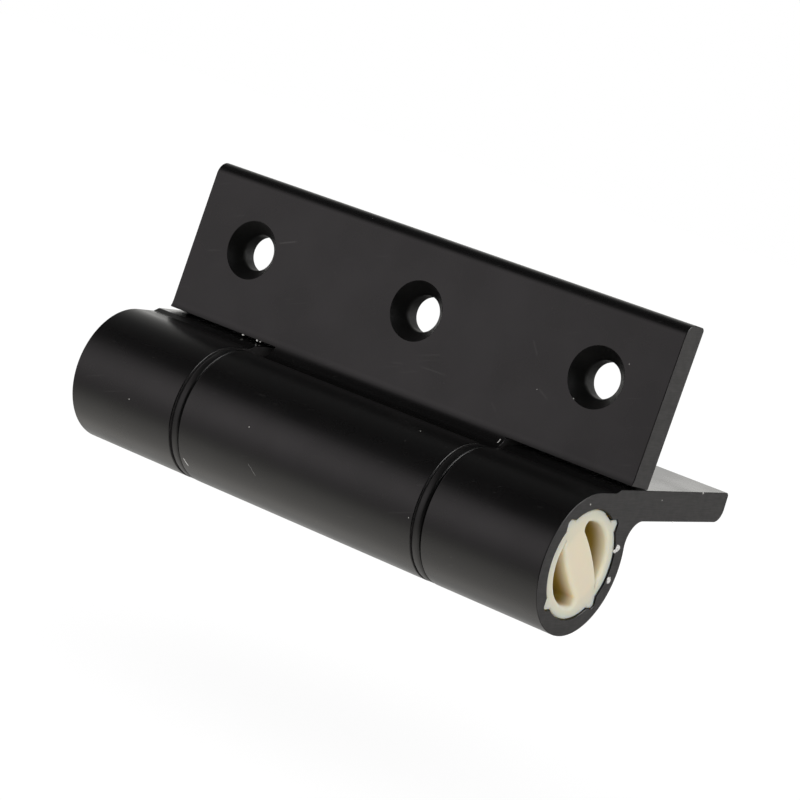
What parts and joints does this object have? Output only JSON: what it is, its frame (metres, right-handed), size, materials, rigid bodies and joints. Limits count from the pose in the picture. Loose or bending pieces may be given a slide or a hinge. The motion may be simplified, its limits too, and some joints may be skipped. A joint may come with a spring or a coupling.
{
  "type": "spring hinge",
  "caption": "Self-closing butt hinge: two interlocking black aluminium leaves with countersunk screw holes, cream keyed pivot plugs and torsion springs hidden in the knuckle.",
  "frame": {"origin": "middle screw hole of the frame leaf, on its mounting face", "axes": "+X along the hinge axis, +Y along the frame leaf from the knuckle to its free edge, +Z out of the frame leaf's mounting face"},
  "size_m": [0.1, 0.0529, 0.0518],
  "materials": {
    "black_anodised": "satin black anodised",
    "black_plastic": "moulded matt",
    "cream_plastic": "moulded satin",
    "spring_steel": "drawn wire"
  },
  "bodies": {
    "frame": {"frame_leaf": "black_anodised", "left_plug": "cream_plastic", "right_plug": "cream_plastic", "left_spring": "spring_steel", "right_spring": "spring_steel"},
    "door": {"door_leaf": "black_anodised", "left_bush": "black_plastic", "right_bush": "black_plastic", "centre_anchor": "cream_plastic"}
  },
  "joints": [
    {"name": "leaf_swing", "type": "hinge", "parent": "frame", "child": "door", "pos_m": [0, -0.028, -0.01242], "axis": [1, 0, 0], "range_deg": [0, 180], "stiffness_Nm_per_rad": 0.25, "springref_deg": -20.05, "deforming": ["left_spring", "right_spring"]}
  ]
}
